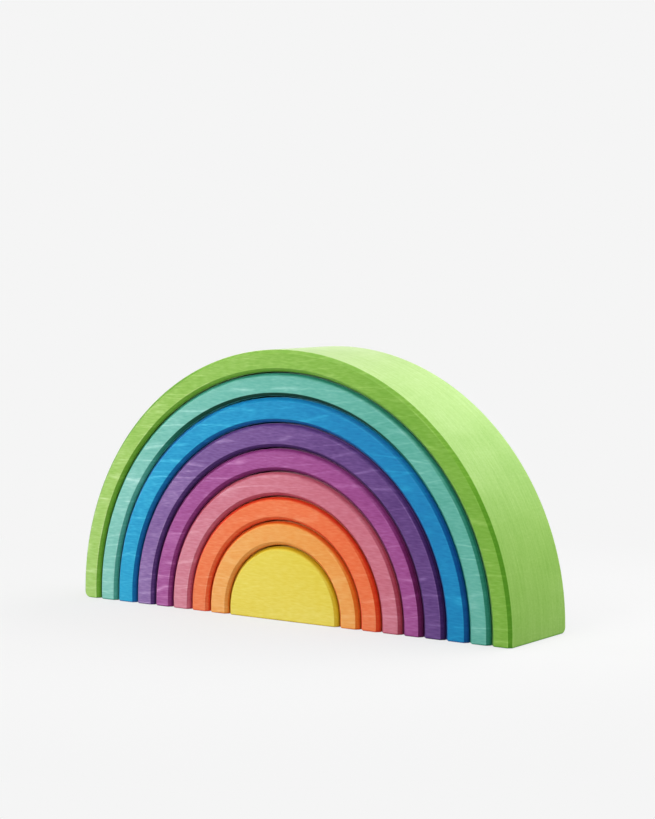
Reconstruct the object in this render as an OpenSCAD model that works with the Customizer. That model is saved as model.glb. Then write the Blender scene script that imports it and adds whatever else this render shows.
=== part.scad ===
// Nesting rainbow: eight arches that stand one over the other, round a solid half disc.
// X runs across the rainbow, Y from the front face to the back face, and Z up from the floor.

/* [Block] */
// Depth of every piece, from the front face to the back face
depth = 63; // [40:1:100]
// Height of the straight feet, from the floor to the centre of the curves
foot_h = 4; // [2:0.5:15]
// Gap that the saw leaves between one piece and the next
saw_gap = 0.9; // [0.4:0.1:2]

/* [Walls] */
// Wall of the green arch, the outer one
green_wall = 12.8; // [9:0.1:20]
// Wall of the turquoise arch
turquoise_wall = 13.3; // [9:0.1:20]
// Wall of the blue arch
blue_wall = 14.3; // [9:0.1:20]
// Wall of the violet arch
violet_wall = 13.8; // [9:0.1:20]
// Wall of the purple arch
purple_wall = 12.8; // [9:0.1:20]
// Wall of the pink arch
pink_wall = 13.8; // [9:0.1:20]
// Wall of the orange arch
orange_wall = 13.3; // [9:0.1:20]
// Wall of the apricot arch, the smallest one
apricot_wall = 13.8; // [9:0.1:20]
// Radius of the yellow half disc in the middle
core_r = 39.5; // [25:0.5:60]

/* [Edges] */
// Chamfer along the edges of the front and back faces
chamfer = 2.1; // [0.5:0.1:3]
// Small edge break round the underside of every foot
foot_break = 0.4; // [0.2:0.1:1.5]

/* [Hidden] */
$fn = 180;

// Outer radius of each piece, each one a gap and a wall larger than the piece that it stands over
apricot_r = core_r + saw_gap + apricot_wall;
orange_r = apricot_r + saw_gap + orange_wall;
pink_r = orange_r + saw_gap + pink_wall;
purple_r = pink_r + saw_gap + purple_wall;
violet_r = purple_r + saw_gap + violet_wall;
blue_r = violet_r + saw_gap + blue_wall;
turquoise_r = blue_r + saw_gap + turquoise_wall;
green_r = turquoise_r + saw_gap + green_wall;

half_turn = 180;
front = -depth / 2;
back = depth / 2;

// Section of an arch between two radii, with a chamfer at every corner
function section(inner, outer) = [
    [inner + chamfer, front],
    [outer - chamfer, front],
    [outer, front + chamfer],
    [outer, back - chamfer],
    [outer - chamfer, back],
    [inner + chamfer, back],
    [inner, back - chamfer],
    [inner, front + chamfer]
];

// Half of the half disc's section, from its middle to its rim
function disc_section(outer) = [
    [0, front],
    [outer - chamfer, front],
    [outer, front + chamfer],
    [outer, back - chamfer],
    [outer - chamfer, back],
    [0, back]
];

// Bends a section over the top, half a turn round the front-to-back axis
module bend(outline) {
    translate([0, 0, foot_h])
        rotate([90, 0, 0])
            rotate_extrude(angle = half_turn)
                polygon(outline);
}

// Wedge that takes the sharp edge off the underside of a foot, along one side of its outline
module edge_wedge(start, end) {
    run = end - start;
    translate([start.x, start.y, 0])
        rotate([0, 0, atan2(run.y, run.x)])
            translate([-foot_break, 0, 0])
                rotate([90, 0, 90])
                    linear_extrude(norm(run) + 2 * foot_break)
                        polygon([
                            [-foot_break, -foot_break],
                            [2 * foot_break, -foot_break],
                            [-foot_break, 2 * foot_break]
                        ]);
}

// Straight foot that stands on the floor, with the edge break all round
module foot(outline) {
    sides = len(outline);
    difference() {
        linear_extrude(foot_h) polygon(outline);
        for (i = [0 : sides - 1])
            edge_wedge(outline[i], outline[(i + 1) % sides]);
    }
}

// Arch on two feet
module arch(outer, wall) {
    outline = section(outer - wall, outer);
    bend(outline);
    foot(outline);
    mirror([1, 0, 0]) foot(outline);
}

module green_arch() {
    color("yellowgreen") arch(green_r, green_wall);
}

module turquoise_arch() {
    color("mediumaquamarine") arch(turquoise_r, turquoise_wall);
}

module blue_arch() {
    color("steelblue") arch(blue_r, blue_wall);
}

module violet_arch() {
    color("rebeccapurple") arch(violet_r, violet_wall);
}

module purple_arch() {
    color("mediumorchid") arch(purple_r, purple_wall);
}

module pink_arch() {
    color("palevioletred") arch(pink_r, pink_wall);
}

module orange_arch() {
    color("coral") arch(orange_r, orange_wall);
}

module apricot_arch() {
    color("sandybrown") arch(apricot_r, apricot_wall);
}

// Half disc on one broad foot
module yellow_core() {
    color("khaki") {
        bend(disc_section(core_r));
        foot(section(-core_r, core_r));
    }
}

green_arch();
turquoise_arch();
blue_arch();
violet_arch();
purple_arch();
pink_arch();
orange_arch();
apricot_arch();
yellow_core();
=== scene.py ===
import math
from collections import namedtuple
from functools import reduce

import bmesh
import bpy
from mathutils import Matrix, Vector


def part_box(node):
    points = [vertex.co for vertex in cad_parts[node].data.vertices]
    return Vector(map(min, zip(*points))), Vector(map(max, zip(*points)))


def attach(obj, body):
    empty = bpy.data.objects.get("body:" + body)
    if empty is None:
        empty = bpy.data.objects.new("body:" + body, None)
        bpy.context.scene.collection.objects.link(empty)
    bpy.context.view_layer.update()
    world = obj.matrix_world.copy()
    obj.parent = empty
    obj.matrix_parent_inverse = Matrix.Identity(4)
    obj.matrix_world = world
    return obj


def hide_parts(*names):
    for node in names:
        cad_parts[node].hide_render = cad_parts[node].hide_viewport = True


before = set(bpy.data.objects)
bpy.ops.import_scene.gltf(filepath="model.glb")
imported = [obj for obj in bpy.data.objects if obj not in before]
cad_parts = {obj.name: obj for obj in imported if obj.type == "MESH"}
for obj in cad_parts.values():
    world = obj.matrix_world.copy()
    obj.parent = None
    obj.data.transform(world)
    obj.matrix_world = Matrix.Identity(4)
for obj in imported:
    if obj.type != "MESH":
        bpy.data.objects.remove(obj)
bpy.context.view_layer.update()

bl_info = {
    "name": "Wooden rainbow stacker",
    "version": (1, 0, 0),
    "blender": (4, 5, 0),
    "location": "View3D > Sidebar > Rainbow",
    "description": "Builds the stained arches and the half disc of a wooden rainbow "
                   "over its CAD frame",
    "category": "Object",
}

# Pieces from the largest arch inwards, each with the piece that it stands over
ARCHES = (
    ("green_arch", "turquoise_arch"),
    ("turquoise_arch", "blue_arch"),
    ("blue_arch", "violet_arch"),
    ("violet_arch", "purple_arch"),
    ("purple_arch", "pink_arch"),
    ("pink_arch", "orange_arch"),
    ("orange_arch", "apricot_arch"),
    ("apricot_arch", "yellow_core"),
)
CORE = "yellow_core"

# How each stain sits on its piece: painted shade on the outer chamfer, on the inner chamfer, and
# on the parts of them that face down and to the left, a share of the painted shade in the groove
# over the top, darker towards the right, shares of streaks, sheen and wear, and a painted sheen
# that makes the side paler over the top. Most pieces have the same sheen, wear and pallor.
Habit = namedtuple(
    "Habit", "outer inner under left groove lean streaks sheen wear pallor",
    defaults=(0.1, 0.4, 0.20))
HABITS = {
    "green_stain": Habit(
        outer=0.68, inner=0.58, under=-0.25, left=0.5, groove=1.0, lean=0.22, streaks=0.90,
        sheen=0.4, wear=0.7, pallor=0.31),
    "turquoise_stain": Habit(
        outer=0.81, inner=0.60, under=2.60, left=0.5, groove=1.6, lean=0.17, streaks=1.10),
    "blue_stain": Habit(
        outer=0.75, inner=0.71, under=0.05, left=0.5, groove=0.35, lean=0.17, streaks=1.00),
    "violet_stain": Habit(
        outer=0.60, inner=0.60, under=0.00, left=0.5, groove=0.45, lean=0.20, streaks=1.00,
        wear=0.6),
    "purple_stain": Habit(
        outer=0.95, inner=0.42, under=0.15, left=0.5, groove=0.55, lean=0.05, streaks=1.10),
    "pink_stain": Habit(
        outer=0.66, inner=0.40, under=0.15, left=0.6, groove=0.70, lean=0.10, streaks=0.80),
    "orange_stain": Habit(
        outer=0.68, inner=0.25, under=0.00, left=0.7, groove=1.6, lean=0.05, streaks=0.70),
    "apricot_stain": Habit(
        outer=0.78, inner=0.22, under=-0.18, left=0.8, groove=2.4, lean=0.05, streaks=0.60),
    "yellow_stain": Habit(
        outer=0.42, inner=0.00, under=0.00, left=1.2, groove=2.4, lean=0.03, streaks=0.25),
}

# Distance below which two places count as one
NEAR = 0.00001
# Inner radius that stands for none, below the middle of a solid piece
NO_INNER = -0.01
# Least distance from the middle that a shader divides by
LEAST_RADIUS = 0.001
# Radius past which no arch stands over a piece, so that there is no groove
OPEN_RADIUS = 0.1475
# Fewest faces that a finished piece can have
FEWEST_FACES = 500
# Edges that turn by more than the first angle are softened, and then those that turn by less than
# the second are shaded smooth
SOFTEN_OVER = math.radians(25)
SOFTEN_STEPS = 3
SMOOTH_UNDER = math.radians(30)
# Facets of the edge break under a foot and of a knocked corner
FOOT_BREAK_STEPS = 2
KNOCK_STEPS = 4

# Distances over which the masks of a section set in: a chamfer, the change from its inner to its
# outer edge, the groove, the edge of the sole and an arris
CHAMFER_START = (0.00002, 0.0003)
EDGE_CHANGE = (-0.0005, 0.0005)
GROOVE_START = (-0.0018, 0.0)
SOLE_EDGE = (0.0009, 0.0002)
ARRIS_EDGE = (0.0006, 0.0001)
# Shares of the chamfer over which a curved side sets in
SIDE_START = (0.4, 0.9)
# How much painted shade a chamfer gets where it faces right, or down
SHADE_RIGHT = 0.75
SHADE_DOWN = 0.66
# Shares of the way that a chamfer faces over which painted shade sets in, for all that face right
# or down, for those under a crown and for those on the left, and over which the rub sets in
SHADING_START = (0.0, 0.60)
UNDER_START = (-0.60, -0.98)
LEFT_START = (-0.15, -0.75)
RUB_START = (-0.35, 0.05)
# Shares of the chamfer between which the groove's painted shade sets in, each at a side and over
# the top
GROOVE_LOW = (0.62, 0.15)
GROOVE_HIGH = (0.98, 0.80)

# Power that makes the growth lines thin, and the strength of the close ones and of the feathery
# patches beside the broad ones
LINE_POWER = 20.0
CLOSE_LINES = 0.6
FEATHER = 0.35
# Noise over which a feathery patch, and the rub on an arris, set in
FEATHER_START = (0.52, 0.74)
RUB_PATCHES = (0.45, 0.70)
# Strength of the streaks at the left and at the right, and the places along X where these start
STREAKS_LEFT_RIGHT = (1.15, 0.90)
STREAK_PLACES = (-0.10, 0.10)
# How far streaks, and fibres and lean, fade on a curved side
STREAK_FADE = 0.85
FACE_FADE = 0.60

# Roughness of plain stained wood, what is added to it or taken from it, and that of the sheen
PLAIN_ROUGHNESS = 0.50
BLOTCH_ROUGHNESS = 0.10
FIBRE_ROUGHNESS = 0.12
END_GRAIN_ROUGHNESS = 0.08
RUB_ROUGHNESS = -0.15
SHEEN_ROUGHNESS = 0.35

# Relief of the grain: the share of each part, then the strength and depth that a Bump node takes
FIBRE_RELIEF = 0.7
STREAK_RELIEF = 0.25
RAY_RELIEF = 0.8
FIGURE_RELIEF = 0.3
BUMP_STRENGTH = 0.35
BUMP_DEPTH = 0.0002

# Stain more or less than the plain stain, which is 1, partly painted light and shade
# Painted shade in the groove between two pieces
GROOVE_SHADE = 0.70
# Painted contact shadow along the edge of the sole
SOLE_SHADOW = 0.80
END_GRAIN_STAIN = 0.08
FIGURE_STAIN = 0.06
# Painted sheen that makes a curved side paler
PAINTED_SIDE_SHEEN = -0.18
# Painted light low on a broad face and painted shade towards its top
PAINTED_FACE_SHADE = -0.07
PAINTED_FACE_SHADE_AT_TOP = 0.12
# Painted shade on the right shoulder
PAINTED_SHOULDER_SHADE = 0.14

# Lamps, each with its place and the length of its sides, and the point that all of them face
LAMPS = (
    ("key", (-0.68, -0.30, 0.22), 0.32),
    ("back", (0.20, 0.45, 0.50), 0.60),
    ("top", (-0.12, -0.12, 2.00), 1.63),
    ("side", (0.75, 0.10, 0.35), 0.50),
    ("front", (0.00, -0.95, 0.45), 0.50),
)
LAMP_TARGET = (0, 0, 0.07)

# Floor: its width, how far it lies below the feet, and its shade for light and for the camera
FLOOR_WIDTH = 12
FLOOR_DROP = 0.0002
FLOOR_SHADE = 0.48
FLOOR_SHADE_SEEN = 0.76
# Share of the background's colour on the floor by the pieces, and the distances from the middle
# over which it grows to the whole
FLOOR_GLOW = 0.76
GLOW_START = 0.10
GLOW_END = 0.42

# Way to the dark part of the room, at the front right, the nearness to that way at which it starts
# and is darkest, and how bright a reflection of it is
DARK_WAY = (0.66, -0.75, 0.0)
DARK_EDGE = (0.20, 0.80)
DARK_SHARE = 0.10
# Depth of a ray below which it has been reflected no more than once
FIRST_REFLECTION = 1.5

# The photograph's camera: its place, the way that it looks, and its lens and sensor in millimetres
CAMERA_PLACE = (0.71742, -1.00015, 0.20894)
CAMERA_WAY = (-0.57563, 0.81466, -0.07047)
CAMERA_LENS = 91.5
CAMERA_SENSOR = 36.0
CAMERA_CLIP = (0.01, 50.0)


def stain_of(node):
    """The record's slot for a piece, which has the piece's colour in its name."""
    return node.split("_")[0] + "_stain"


def linear(red, green, blue):
    """A colour of 0 to 255 as the linear values that shaders take."""
    def channel(value):
        value = value / 255
        return value / 12.92 if value <= 0.04045 else ((value + 0.055) / 1.055) ** 2.4
    return (channel(red), channel(green), channel(blue))


def colour(name, description, red, green, blue):
    """A property for a colour, given as 0 to 255."""
    return bpy.props.FloatVectorProperty(
        name=name, description=description, subtype="COLOR", size=3, min=0, max=1,
        default=linear(red, green, blue))


def stain(name, red, green, blue):
    """A property for the stain of one piece."""
    return colour(name, name + " as it dries on the broad faces", red, green, blue)


def length(name, description, default):
    """A property for a length, shown in the scene's unit."""
    return bpy.props.FloatProperty(
        name=name, description=description, default=default, min=0, precision=5, unit="LENGTH")


def share(name, description, default, high=1.0):
    """A property for a strength from 0 upwards."""
    return bpy.props.FloatProperty(
        name=name, description=description, default=default, min=0, max=high, subtype="FACTOR")


def power(name, description, default):
    """A property for the power of a lamp."""
    return bpy.props.FloatProperty(
        name=name, description=description, default=default, min=0, unit="POWER")


class RainbowSizes(bpy.types.PropertyGroup):
    """Sizes that all nine pieces share."""

    depth: length("Depth", "From the front face to the back face",
                  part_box(CORE)[1].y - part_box(CORE)[0].y)
    foot: length("Foot height", "Straight foot below the centre of the curves",
                 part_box(CORE)[1].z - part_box(CORE)[1].x)
    saw_gap: length("Saw gap", "Air between one piece and the next", 0.0009)
    chamfer: length("Chamfer", "Chamfer along the edges of the broad faces", 0.0021)
    foot_break: length("Foot edge", "Edge break round the underside of a foot", 0.0004)
    softening: length("Softening", "How far sanding rounds each arris", 0.00035)
    knock: length("Knocked corners", "Rounding of the two bottom corners of the largest arch "
                  "that took knocks", 0.0030)
    steps: bpy.props.IntProperty(
        name="Bend steps", description="Facets over the half turn", default=96, min=24, max=240)


class RainbowStains(bpy.types.PropertyGroup):
    """Water stain of each piece."""

    green_stain: stain("Green", 136, 182, 76)
    turquoise_stain: stain("Turquoise", 108, 181, 166)
    blue_stain: stain("Blue", 20, 141, 191)
    violet_stain: stain("Violet", 112, 79, 140)
    purple_stain: stain("Purple", 157, 78, 142)
    pink_stain: stain("Pink", 201, 118, 136)
    orange_stain: stain("Orange", 233, 118, 72)
    apricot_stain: stain("Apricot", 234, 161, 84)
    yellow_stain: stain("Yellow", 226, 207, 80)


class RainbowFinish(bpy.types.PropertyGroup):
    """How the stained wood looks."""

    streaks: share("Streaks", "Pale growth lines that take less stain", 0.26)
    blotches: share("Blotches", "Soft patches of more and less stain", 0.30)
    fibres: share("Fibres", "Fine lines along the grain", 0.45)
    rays: share("Rays", "Fine pale lines along the curved sides", 0.34)
    # Strength of the painted shade on the chamfers that face down or to a side
    shaded_edges: share("Soaked edges", "Extra stain that the chamfers take", 1.0, 2.0)
    wear: share("Wear", "Pale rub along the arrises", 0.45)
    sheen: share("Sheen", "Pale sheen of the sanded fibres at a low angle", 0.65)
    gloss: share("Gloss", "How much the surface reflects", 0.20)


class RainbowStage(bpy.types.PropertyGroup):
    """Floor, lamps and background."""

    background: colour("Background", "Colour of the background and of the far floor",
                       245, 245, 245)
    key_power: power("Key lamp", "Weak lamp at the left, a little to the front", 2.28)
    back_power: power("Back lamp", "Soft lamp behind, to the right", 3.95)
    top_power: power("Top lamp", "Soft lamp overhead, above the highest pose", 19.3)
    side_power: power("Side lamp", "Weak lamp at the right", 2.62)
    front_power: power("Front lamp", "Main lamp on the front faces", 6.64)
    ambient: share("Ambient", "Even light from all round", 0.03, 2.0)


GROUPS = (
    ("rainbow_sizes", RainbowSizes),
    ("rainbow_stains", RainbowStains),
    ("rainbow_finish", RainbowFinish),
    ("rainbow_stage", RainbowStage),
)


# Shader nodes

def link(tree, source, target):
    """Joins two sockets, or sets a plain value on the target."""
    if isinstance(source, bpy.types.NodeSocket):
        tree.links.new(source, target)
    else:
        target.default_value = source


def add(tree, kind, **settings):
    """A node of one kind, with its settings."""
    made = tree.nodes.new(kind)
    for name, value in settings.items():
        setattr(made, name, value)
    return made


def maths(tree, operation, *values):
    """The result of a Math node."""
    made = add(tree, "ShaderNodeMath", operation=operation)
    for source, target in zip(values, made.inputs):
        link(tree, source, target)
    return made.outputs[0]


def product(tree, *values):
    """The product of several values."""
    return reduce(lambda one, other: maths(tree, "MULTIPLY", one, other), values)


def total(tree, *values):
    """The sum of several values."""
    return reduce(lambda one, other: maths(tree, "ADD", one, other), values)


def ramp(tree, value, low, high, start=0.0, end=1.0, smooth=True):
    """A value mapped from one range to another, held at both ends."""
    made = add(tree, "ShaderNodeMapRange",
               interpolation_type="SMOOTHSTEP" if smooth else "LINEAR", clamp=True)
    for source, target in zip((value, low, high, start, end), made.inputs):
        link(tree, source, target)
    return made.outputs[0]


def noise(tree, place, frequency, detail=2.0, roughness=0.5, offset=(0.0, 0.0, 0.0)):
    """Noise with its own frequency along each axis, per metre."""
    mapping = add(tree, "ShaderNodeMapping")
    link(tree, place, mapping.inputs["Vector"])
    mapping.inputs["Scale"].default_value = frequency
    mapping.inputs["Location"].default_value = offset
    made = add(tree, "ShaderNodeTexNoise")
    link(tree, mapping.outputs[0], made.inputs["Vector"])
    made.inputs["Scale"].default_value = 1.0
    made.inputs["Detail"].default_value = detail
    made.inputs["Roughness"].default_value = roughness
    return made.outputs["Fac"]


def group_tree(name, inputs, outputs):
    """An empty shader group with its named sockets, and its two end nodes."""
    tree = bpy.data.node_groups.new(name, "ShaderNodeTree")
    for label, kind in inputs:
        tree.interface.new_socket(label, in_out="INPUT", socket_type=kind)
    for label, kind in outputs:
        tree.interface.new_socket(label, in_out="OUTPUT", socket_type=kind)
    return tree, add(tree, "NodeGroupInput").outputs, add(tree, "NodeGroupOutput").inputs


NUMBER, COLOUR = "NodeSocketFloat", "NodeSocketColor"


def section_group():
    """Where a point lies on a bent section: an edge with painted shade, a curved side, end grain or
    an arris.
    """
    tree, given, out = group_tree(
        "Bent section",
        [("Inner radius", NUMBER), ("Outer radius", NUMBER), ("Half depth", NUMBER),
         ("Foot height", NUMBER), ("Chamfer", NUMBER), ("Outer soak", NUMBER),
         ("Inner soak", NUMBER), ("Under soak", NUMBER), ("Left soak", NUMBER),
         ("Groove share", NUMBER)],
        [("Soaked", NUMBER), ("Side", NUMBER), ("End grain", NUMBER), ("Arris", NUMBER),
         ("Across", NUMBER), ("Height", NUMBER)])
    place = add(tree, "ShaderNodeTexCoord").outputs["Object"]
    axes = add(tree, "ShaderNodeSeparateXYZ")
    link(tree, place, axes.inputs[0])
    above = maths(tree, "SUBTRACT", axes.outputs["Z"], given["Foot height"])
    rise = maths(tree, "MAXIMUM", above, 0.0)
    across = maths(tree, "ABSOLUTE", axes.outputs["X"])
    square = total(tree, product(tree, across, across), product(tree, rise, rise))
    radius = maths(tree, "MAXIMUM", maths(tree, "SQRT", square), LEAST_RADIUS)
    # Distances into the chamfer's corner, from the lines where it starts
    from_face = maths(tree, "SUBTRACT", maths(tree, "ABSOLUTE", axes.outputs["Y"]),
                      maths(tree, "SUBTRACT", given["Half depth"], given["Chamfer"]))
    beyond_outer = maths(tree, "SUBTRACT", radius,
                         maths(tree, "SUBTRACT", given["Outer radius"], given["Chamfer"]))
    beyond_inner = maths(tree, "SUBTRACT",
                         maths(tree, "ADD", given["Inner radius"], given["Chamfer"]), radius)
    beyond = maths(tree, "MAXIMUM", beyond_outer, beyond_inner)
    corner = maths(tree, "MINIMUM", from_face, beyond)
    chamfer = ramp(tree, corner, *CHAMFER_START)
    # The way that a chamfer faces: -1 on an inner edge and 1 on an outer one, then its shares to
    # the right and up
    outward = ramp(tree, maths(tree, "SUBTRACT", beyond_outer, beyond_inner),
                   *EDGE_CHANGE, -1.0, 1.0)
    right = maths(tree, "DIVIDE", product(tree, outward, axes.outputs["X"]), radius)
    up = maths(tree, "DIVIDE", product(tree, outward, rise), radius)
    # Painted shade on the chamfers that face down or to a side
    slope = maths(tree, "SUBTRACT", product(tree, right, SHADE_RIGHT),
                  product(tree, up, SHADE_DOWN))
    shading = ramp(tree, outward, -1.0, 1.0, given["Inner soak"], given["Outer soak"], False)
    painted_shade = total(
        tree, product(tree, ramp(tree, slope, *SHADING_START), shading),
        ramp(tree, up, *UNDER_START, 0.0, given["Under soak"]),
        ramp(tree, right, *LEFT_START, 0.0, given["Left soak"]))
    # The groove between two pieces gets more painted shade, but not the edge of the outermost arch,
    # and on an upper edge the painted shade reaches further out of the groove
    low = ramp(tree, up, 0.0, 1.0, *GROOVE_LOW)
    high = ramp(tree, up, 0.0, 1.0, *GROOVE_HIGH)
    groove_shade = product(
        tree, ramp(tree, from_face, *GROOVE_START, 0.0, GROOVE_SHADE),
        ramp(tree, maths(tree, "DIVIDE", beyond, given["Chamfer"]), low, high),
        ramp(tree, up, 0.0, 1.0, 1.0, given["Groove share"]))
    nested = maths(tree, "LESS_THAN", product(tree, outward, radius), OPEN_RADIUS)
    # A painted contact shadow darkens the edge of the sole
    sole = ramp(tree, axes.outputs["Z"], *SOLE_EDGE, 0.0, SOLE_SHADOW)
    painted_shade = maths(tree, "MULTIPLY_ADD", chamfer, painted_shade, sole)
    link(tree, maths(tree, "MULTIPLY_ADD", groove_shade, nested, painted_shade), out["Soaked"])
    # End grain shows on the curved sides, where they face along the grain
    on_side = ramp(tree, maths(tree, "MAXIMUM", beyond, 0.0),
                   *(product(tree, given["Chamfer"], limit) for limit in SIDE_START))
    link(tree, maths(tree, "SUBTRACT", on_side, product(tree, on_side, chamfer)), out["Side"])
    facing = maths(tree, "DIVIDE", across, radius)
    link(tree, product(tree, on_side, maths(tree, "POWER", facing, 2.0)), out["End grain"])
    # Rub shows on both arrises of a chamfer, where the least of its distances is near 0, and not
    # on those that face left
    arris = ramp(tree, maths(tree, "ABSOLUTE", corner), *ARRIS_EDGE)
    link(tree, product(tree, arris, ramp(tree, right, *RUB_START)), out["Arris"])
    # Shares from -1 at the left foot to 1 at the right, and from 0 at the feet to 1 at the top
    link(tree, maths(tree, "DIVIDE", axes.outputs["X"], given["Outer radius"]), out["Across"])
    link(tree, maths(tree, "DIVIDE", rise, given["Outer radius"]), out["Height"])
    return tree


def grain_group():
    """Grain of one block, along X, so that it runs on from piece to piece."""
    tree, _, out = group_tree(
        "Block grain", [],
        [("Streaks", NUMBER), ("Blotches", NUMBER), ("Fibres", NUMBER), ("Rays", NUMBER),
         ("Figure", NUMBER)])
    place = add(tree, "ShaderNodeTexCoord").outputs["Object"]
    axes = add(tree, "ShaderNodeSeparateXYZ")
    link(tree, place, axes.inputs[0])

    def growth_lines(spacing, tilt, sway, seed, low, high):
        """Thin lines that lie nearly level, wander and fade in and out along the grain."""
        drift = noise(tree, place, frequency=(9.0, 9.0, 38.0), offset=(seed, 0.0, 1.7))
        level = maths(tree, "MULTIPLY_ADD", axes.outputs["X"], tilt, axes.outputs["Z"])
        turns = maths(tree, "MULTIPLY_ADD", drift, sway, maths(tree, "DIVIDE", level, spacing))
        wave = maths(tree, "SINE", product(tree, turns, 2 * math.pi))
        lines = maths(tree, "POWER", maths(tree, "MULTIPLY_ADD", wave, 0.5, 0.5), LINE_POWER)
        fade = noise(tree, place, frequency=(44.0, 15.0, 60.0), detail=1.0,
                     offset=(seed + 7.0, 2.0, 0.0))
        return product(tree, lines, ramp(tree, fade, low, high))

    broad = growth_lines(spacing=0.0110, tilt=-0.06, sway=3.4, seed=3.1, low=0.39, high=0.57)
    close = growth_lines(spacing=0.0063, tilt=-0.12, sway=3.0, seed=5.3, low=0.43, high=0.60)
    patches = noise(tree, place, frequency=(40.0, 20.0, 130.0), detail=3.0, roughness=0.6,
                    offset=(6.0, 1.0, 3.0))
    feather = ramp(tree, patches, *FEATHER_START)
    lines = maths(tree, "MAXIMUM", broad, product(tree, close, CLOSE_LINES))
    lines = maths(tree, "MAXIMUM", lines, product(tree, feather, FEATHER))
    strength = ramp(tree, axes.outputs["X"], *STREAK_PLACES, *STREAKS_LEFT_RIGHT)
    link(tree, product(tree, lines, strength), out["Streaks"])
    # Frequency, detail, roughness and offset of each noise
    textures = (
        ("Blotches", (17.0, 22.0, 42.0), 3.0, 0.55, (0.0, 5.0, 9.0)),
        ("Fibres", (210.0, 640.0, 1100.0), 1.0, 0.5, (1.0, 0.0, 4.0)),
        ("Rays", (42.0, 640.0, 42.0), 3.0, 0.6, (4.0, 3.0, 2.0)),
        ("Figure", (190.0, 30.0, 16.0), 2.0, 0.5, (2.0, 8.0, 5.0)),
    )
    for name, *settings in textures:
        link(tree, noise(tree, place, *settings), out[name])
    return tree


def stain_with_light_group():
    """Water stain over the grain, with painted shade and sheen: more stain is darker and stronger,
    less is paler.
    """
    tree, given, out = group_tree(
        "Water stain",
        [("Stain", COLOUR), ("Streaks", NUMBER), ("Blotches", NUMBER), ("Fibres", NUMBER),
         ("Rays", NUMBER), ("Figure", NUMBER), ("Soaked", NUMBER), ("Side", NUMBER),
         ("End grain", NUMBER), ("Arris", NUMBER), ("Across", NUMBER), ("Height", NUMBER),
         ("Streak strength", NUMBER), ("Blotch strength", NUMBER), ("Fibre strength", NUMBER),
         ("Ray strength", NUMBER), ("Lean", NUMBER), ("Wear", NUMBER), ("Pallor", NUMBER)],
        [("Color", COLOUR), ("Roughness", NUMBER), ("Height", NUMBER)])

    def swing(value, strength):
        """A noise value as more or less stain round none."""
        return product(tree, maths(tree, "SUBTRACT", value, 0.5), strength)

    # Streaks nearly fade out on a curved side, and the fibres and the lean fade in part
    streak_share = maths(tree, "MULTIPLY_ADD", given["Side"], -STREAK_FADE, 1.0)
    face_share = maths(tree, "MULTIPLY_ADD", given["Side"], -FACE_FADE, 1.0)
    streaks = product(tree, given["Streaks"], streak_share, given["Streak strength"])
    rays = product(tree, swing(given["Rays"], given["Ray strength"]), given["Side"])
    fibres = product(tree, swing(given["Fibres"], given["Fibre strength"]), face_share)
    lean = product(tree, given["Across"], given["Lean"], face_share)
    # The rub on the arrises comes and goes with the blotches
    rub = product(tree, given["Arris"], given["Wear"],
                  ramp(tree, given["Blotches"], *RUB_PATCHES))
    # A painted sheen makes a curved side paler, most over the top; painted shade darkens a broad
    # face there
    pallor = product(tree, maths(tree, "POWER", given["Height"], 2.0), given["Pallor"])
    side = product(tree, given["Side"], maths(tree, "SUBTRACT", PAINTED_SIDE_SHEEN, pallor))
    face = product(tree, maths(tree, "SUBTRACT", 1.0, given["Side"]), maths(
        tree, "MULTIPLY_ADD", given["Height"], PAINTED_FACE_SHADE_AT_TOP, PAINTED_FACE_SHADE))
    # Painted shade over the upper right of a piece
    shoulder_shade = product(tree, maths(tree, "MAXIMUM", given["Across"], 0.0),
                       product(tree, given["Height"], PAINTED_SHOULDER_SHADE))
    dye_and_shade = total(
        tree, 1.0, lean, swing(given["Blotches"], given["Blotch strength"]), fibres, rays,
        swing(given["Figure"], FIGURE_STAIN), given["Soaked"],
        product(tree, given["End grain"], END_GRAIN_STAIN), side, face, shoulder_shade,
        product(tree, streaks, -1.0), product(tree, rub, -1.0))
    dyed_and_shaded = add(tree, "ShaderNodeGamma")
    link(tree, given["Stain"], dyed_and_shaded.inputs["Color"])
    link(tree, dye_and_shade, dyed_and_shaded.inputs["Gamma"])
    link(tree, dyed_and_shaded.outputs[0], out["Color"])
    roughness = total(
        tree, PLAIN_ROUGHNESS, swing(given["Blotches"], BLOTCH_ROUGHNESS),
        swing(given["Fibres"], FIBRE_ROUGHNESS),
        product(tree, given["End grain"], END_GRAIN_ROUGHNESS), product(tree, rub, RUB_ROUGHNESS))
    link(tree, roughness, out["Roughness"])
    relief = total(
        tree, product(tree, swing(given["Fibres"], FIBRE_RELIEF), face_share),
        product(tree, given["Streaks"], STREAK_RELIEF),
        product(tree, swing(given["Rays"], RAY_RELIEF), given["End grain"]),
        swing(given["Figure"], FIGURE_RELIEF))
    link(tree, relief, out["Height"])
    return tree


def place_group(tree, shared, values):
    """A shared group in a material, with its own values."""
    made = add(tree, "ShaderNodeGroup", node_tree=shared)
    for name, value in values.items():
        link(tree, value, made.inputs[name])
    return made.outputs


def shared_group(name, builder):
    """A group by name, built the first time that it is needed."""
    return bpy.data.node_groups.get(name) or builder()


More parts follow.
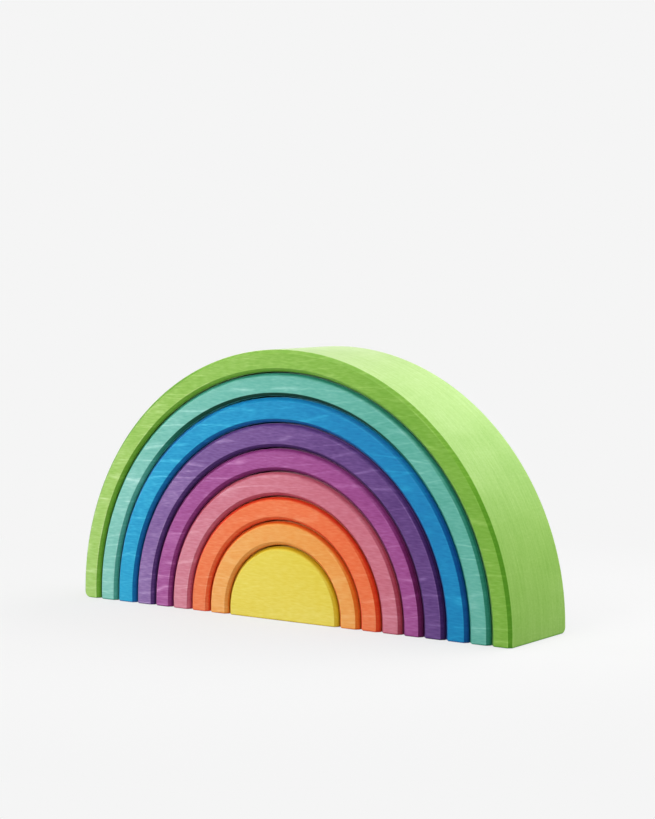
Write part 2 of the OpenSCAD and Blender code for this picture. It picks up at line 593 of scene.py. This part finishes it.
def stained_shaded_wood(scene, slot, inner, outer):
    """Wood with the stain of one slot, and its painted shade and sheen, for a piece between two
    radii.
    """
    sizes, finish = scene.rainbow_sizes, scene.rainbow_finish
    habit = HABITS[slot]
    material = bpy.data.materials.new(slot)
    material.use_nodes = True
    tree = material.node_tree
    surface = tree.nodes["Principled BSDF"]
    section = place_group(tree, shared_group("Bent section", section_group), {
        "Inner radius": inner, "Outer radius": outer, "Half depth": sizes.depth / 2,
        "Foot height": sizes.foot, "Chamfer": sizes.chamfer,
        "Outer soak": finish.shaded_edges * habit.outer, "Inner soak": finish.shaded_edges * habit.inner,
        "Under soak": finish.shaded_edges * habit.under, "Left soak": finish.shaded_edges * habit.left,
        "Groove share": habit.groove})
    grain = place_group(tree, shared_group("Block grain", grain_group), {})
    values = {output.name: output for output in (*grain, *section)}
    values.update({
        "Stain": (*getattr(scene.rainbow_stains, slot), 1.0),
        "Streak strength": finish.streaks * habit.streaks, "Blotch strength": finish.blotches,
        "Fibre strength": finish.fibres, "Ray strength": finish.rays,
        "Lean": habit.lean, "Wear": finish.wear * habit.wear, "Pallor": habit.pallor})
    stained = place_group(tree, shared_group("Water stain", stain_with_light_group), values)
    link(tree, stained["Color"], surface.inputs["Base Color"])
    link(tree, stained["Roughness"], surface.inputs["Roughness"])
    bump = add(tree, "ShaderNodeBump")
    bump.inputs["Strength"].default_value = BUMP_STRENGTH
    bump.inputs["Distance"].default_value = BUMP_DEPTH
    link(tree, stained["Height"], bump.inputs["Height"])
    link(tree, bump.outputs[0], surface.inputs["Normal"])
    surface.inputs["Specular IOR Level"].default_value = finish.gloss
    surface.inputs["Sheen Weight"].default_value = finish.sheen * habit.sheen
    surface.inputs["Sheen Roughness"].default_value = SHEEN_ROUGHNESS
    return material


# Modelling

def start_sole(name, centre, width, depth):
    """A flat rectangle on the floor, in edit mode and selected all over."""
    bpy.ops.object.select_all(action="DESELECT")
    bpy.ops.mesh.primitive_plane_add(size=1, location=(centre, 0, 0))
    piece = bpy.context.object
    piece.name = piece.data.name = name
    bpy.ops.transform.resize(value=(width, depth, 1))
    bpy.ops.object.transform_apply(location=True, rotation=True, scale=True)
    bpy.ops.object.mode_set(mode="EDIT")
    bpy.ops.mesh.select_all(action="SELECT")
    return piece


def select_edges(piece, test):
    """Selects the edges whose two ends both pass the test, and nothing else."""
    bpy.ops.mesh.select_mode(type="EDGE")
    bpy.ops.mesh.select_all(action="DESELECT")
    mesh = bmesh.from_edit_mesh(piece.data)
    for edge in mesh.edges:
        edge.select_set(all(test(corner.co) for corner in edge.verts))
    mesh.select_flush_mode()
    bmesh.update_edit_mesh(piece.data)


def finish_piece(piece, scene, node, inner, outer):
    """Softens the arrises, shades the piece, stains it and puts it on its body."""
    sizes = scene.rainbow_sizes
    bpy.ops.mesh.select_all(action="SELECT")
    bpy.ops.mesh.remove_doubles(threshold=NEAR)
    bpy.ops.mesh.normals_make_consistent(inside=False)
    bpy.ops.object.mode_set(mode="OBJECT")
    bpy.ops.object.modifier_add(type="BEVEL")
    rounding = piece.modifiers[-1]
    rounding.width = sizes.softening
    rounding.segments = SOFTEN_STEPS
    rounding.limit_method = "ANGLE"
    rounding.angle_limit = SOFTEN_OVER
    bpy.ops.object.modifier_apply(modifier=rounding.name)
    bpy.ops.object.shade_smooth_by_angle(angle=SMOOTH_UNDER)
    bpy.ops.object.modifier_add(type="WEIGHTED_NORMAL")
    piece.modifiers[-1].keep_sharp = True
    bpy.ops.object.modifier_apply(modifier=piece.modifiers[-1].name)
    if len(piece.data.polygons) < FEWEST_FACES:
        raise RuntimeError(node + " came out with too few faces")
    slot = stain_of(node)
    piece.data.materials.append(stained_shaded_wood(scene, slot, inner, outer))
    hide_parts(node)
    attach(piece, node)


class RAINBOW_OT_arches(bpy.types.Operator):
    """Builds the eight arches, each from the sole of its right foot"""

    bl_idname = "rainbow.arches"
    bl_label = "Arches"
    bl_options = {"REGISTER", "UNDO"}

    def execute(self, context):
        sizes = context.scene.rainbow_sizes
        for node, under in ARCHES:
            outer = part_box(node)[1].x
            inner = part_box(under)[1].x + sizes.saw_gap
            piece = start_sole(node + "_wood", (inner + outer) / 2, outer - inner, sizes.depth)
            bpy.ops.mesh.bevel(affect="VERTICES", offset=sizes.chamfer, segments=1)
            bpy.ops.mesh.extrude_region_move(TRANSFORM_OT_translate={"value": (0, 0, sizes.foot)})
            bpy.ops.mesh.spin(steps=sizes.steps, angle=math.pi,
                              center=(0, 0, sizes.foot), axis=(0, 1, 0))
            bpy.ops.mesh.extrude_region_move(TRANSFORM_OT_translate={"value": (0, 0, -sizes.foot)})
            if node == ARCHES[0][0]:
                self.knock_corners(piece, sizes, outer)
            select_edges(piece, lambda place: place.z < NEAR)
            bpy.ops.mesh.bevel(affect="EDGES", offset=sizes.foot_break, segments=FOOT_BREAK_STEPS)
            finish_piece(piece, context.scene, node, inner, outer)
        return {"FINISHED"}

    def knock_corners(self, piece, sizes, outer):
        """Rounds the bottom corner at the right back and the one at the left front."""
        across = outer - sizes.chamfer - NEAR
        along = sizes.depth / 2 - sizes.chamfer - NEAR
        for side in (1, -1):
            select_edges(piece, lambda place: place.z < NEAR and side * place.x > across
                         and side * place.y > along)
            bpy.ops.mesh.bevel(affect="EDGES", offset=sizes.knock, segments=KNOCK_STEPS)


class RAINBOW_OT_core(bpy.types.Operator):
    """Builds the solid half disc in the middle"""

    bl_idname = "rainbow.core"
    bl_label = "Half disc"
    bl_options = {"REGISTER", "UNDO"}

    def execute(self, context):
        sizes = context.scene.rainbow_sizes
        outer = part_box(CORE)[1].x
        bpy.ops.object.select_all(action="DESELECT")
        bpy.ops.mesh.primitive_cylinder_add(
            vertices=2 * sizes.steps, radius=outer, depth=sizes.depth,
            location=(0, 0, sizes.foot), rotation=(math.pi / 2, 0, 0))
        piece = bpy.context.object
        piece.name = piece.data.name = CORE + "_wood"
        bpy.ops.object.transform_apply(location=True, rotation=True, scale=True)
        bpy.ops.object.mode_set(mode="EDIT")
        face = sizes.depth / 2
        for side in (-face, face):
            select_edges(piece, lambda place: abs(place.y - side) < NEAR)
            bpy.ops.mesh.bevel(affect="EDGES", offset=sizes.chamfer, segments=1)
        bpy.ops.mesh.select_all(action="SELECT")
        bpy.ops.mesh.bisect(plane_co=(0, 0, sizes.foot), plane_no=(0, 0, 1),
                            use_fill=True, clear_inner=True)
        bpy.ops.mesh.extrude_region_move(TRANSFORM_OT_translate={"value": (0, 0, -sizes.foot)})
        select_edges(piece, lambda place: place.z < NEAR)
        bpy.ops.mesh.bevel(affect="EDGES", offset=sizes.foot_break, segments=FOOT_BREAK_STEPS)
        finish_piece(piece, context.scene, CORE, NO_INNER, outer)
        return {"FINISHED"}


def facing_way(way):
    """The rotation of a lamp or camera that looks one way."""
    return Vector(way).to_track_quat("-Z", "Y").to_euler()


def soft_lamp(name, place, size, watts):
    """A square lamp that lights the pieces and doesn't show in the picture."""
    bpy.ops.object.light_add(type="AREA", location=place)
    lamp = bpy.context.object
    lamp.name = lamp.data.name = name
    lamp.rotation_euler = facing_way(Vector(LAMP_TARGET) - Vector(place))
    lamp.data.shape = "SQUARE"
    lamp.data.size = size
    lamp.data.energy = watts
    lamp.visible_camera = False


def seen_ray(tree):
    """1 for what the camera sees, straight or in a reflection or through glass."""
    path = add(tree, "ShaderNodeLightPath").outputs
    direct = maths(tree, "MAXIMUM", path["Is Camera Ray"], path["Is Glossy Ray"])
    return maths(tree, "MAXIMUM", direct, path["Is Transmission Ray"])


class RAINBOW_OT_stage(bpy.types.Operator):
    """Lays the pale floor and sets the lamps, the background and the camera"""

    bl_idname = "rainbow.stage"
    bl_label = "Stage"
    bl_options = {"REGISTER", "UNDO"}

    def execute(self, context):
        scene, stage = context.scene, context.scene.rainbow_stage
        bpy.ops.object.select_all(action="DESELECT")
        self.floor(stage)
        for name, place, size in LAMPS:
            soft_lamp(name + "_lamp", place, size, getattr(stage, name + "_power"))
        self.background(scene, stage)
        self.camera(scene)
        scene.view_settings.view_transform = "Standard"
        return {"FINISHED"}

    def floor(self, stage):
        """A wide floor whose far part has the background's colour, so that no horizon shows."""
        bpy.ops.mesh.primitive_plane_add(size=FLOOR_WIDTH, location=(0, 0, -FLOOR_DROP))
        floor = bpy.context.object
        floor.name = floor.data.name = "floor"
        bpy.ops.object.transform_apply(location=True)
        material = bpy.data.materials.new("floor_paper")
        material.use_nodes = True
        tree = material.node_tree
        tree.nodes.clear()
        paper = add(tree, "ShaderNodeBsdfDiffuse")
        seen = seen_ray(tree)
        shade = ramp(tree, seen, 0.0, 1.0, FLOOR_SHADE, FLOOR_SHADE_SEEN, False)
        link(tree, shade, paper.inputs["Color"])
        glow = add(tree, "ShaderNodeEmission")
        glow.inputs["Color"].default_value = (*stage.background, 1.0)
        place = add(tree, "ShaderNodeTexCoord").outputs["Object"]
        reach = add(tree, "ShaderNodeVectorMath", operation="LENGTH")
        link(tree, place, reach.inputs[0])
        even = ramp(tree, reach.outputs["Value"], GLOW_START, GLOW_END, FLOOR_GLOW, 1.0)
        mix = add(tree, "ShaderNodeMixShader")
        link(tree, product(tree, even, seen), mix.inputs["Fac"])
        link(tree, paper.outputs[0], mix.inputs[1])
        link(tree, glow.outputs[0], mix.inputs[2])
        link(tree, mix.outputs[0], add(tree, "ShaderNodeOutputMaterial").inputs["Surface"])
        floor.data.materials.append(material)

    def background(self, scene, stage):
        """An even pale background, and a softer even light on the pieces."""
        world = bpy.data.worlds.new("paper_background")
        scene.world = world
        world.use_nodes = True
        tree = world.node_tree
        sky = tree.nodes["Background"]
        sky.inputs["Color"].default_value = (*stage.background, 1.0)
        # The room is dark towards the front right, so the pieces reflect less from there
        toward = add(tree, "ShaderNodeVectorMath", operation="DOT_PRODUCT")
        link(tree, add(tree, "ShaderNodeTexCoord").outputs["Generated"], toward.inputs[0])
        toward.inputs[1].default_value = DARK_WAY
        room = ramp(tree, toward.outputs["Value"], *DARK_EDGE, 1.0, DARK_SHARE)
        path = add(tree, "ShaderNodeLightPath").outputs
        clear = maths(tree, "MAXIMUM", path["Is Camera Ray"], path["Is Transmission Ray"])
        # Only a ray's first reflection shows the room
        early = maths(tree, "LESS_THAN", path["Ray Depth"], FIRST_REFLECTION)
        first = product(tree, path["Is Glossy Ray"], early)
        lit = maths(tree, "MAXIMUM", product(tree, first, room), stage.ambient)
        link(tree, maths(tree, "MAXIMUM", clear, lit), sky.inputs["Strength"])

    def camera(self, scene):
        """The photograph's view, from the front right and a little above."""
        bpy.ops.object.camera_add(location=CAMERA_PLACE)
        camera = bpy.context.object
        camera.name = camera.data.name = "camera"
        camera.rotation_euler = facing_way(CAMERA_WAY)
        camera.data.sensor_width = CAMERA_SENSOR
        camera.data.sensor_fit = "AUTO"
        camera.data.lens = CAMERA_LENS
        camera.data.clip_start, camera.data.clip_end = CAMERA_CLIP
        scene.camera = camera


class RAINBOW_PT_sidebar(bpy.types.Panel):
    """Sizes, stains and finish of the rainbow, and a button for each group of pieces"""

    bl_idname = "RAINBOW_PT_sidebar"
    bl_label = "Rainbow stacker"
    bl_space_type = "VIEW_3D"
    bl_region_type = "UI"
    bl_category = "Rainbow"

    def draw(self, context):
        for name, group in GROUPS:
            box = self.layout.box()
            box.label(text=group.__doc__)
            values = getattr(context.scene, name)
            for key in group.__annotations__:
                box.prop(values, key)
        for operator in OPERATORS:
            self.layout.operator(operator.bl_idname)


OPERATORS = (RAINBOW_OT_arches, RAINBOW_OT_core, RAINBOW_OT_stage)


def register():
    for name, group in GROUPS:
        bpy.utils.register_class(group)
        setattr(bpy.types.Scene, name, bpy.props.PointerProperty(type=group))
    for item in (*OPERATORS, RAINBOW_PT_sidebar):
        bpy.utils.register_class(item)


def unregister():
    for item in reversed((*OPERATORS, RAINBOW_PT_sidebar)):
        bpy.utils.unregister_class(item)
    for name, group in reversed(GROUPS):
        delattr(bpy.types.Scene, name)
        bpy.utils.unregister_class(group)


def main():
    register()
    bpy.ops.rainbow.arches()
    bpy.ops.rainbow.core()
    bpy.ops.rainbow.stage()


if __name__ == "__main__":
    main()
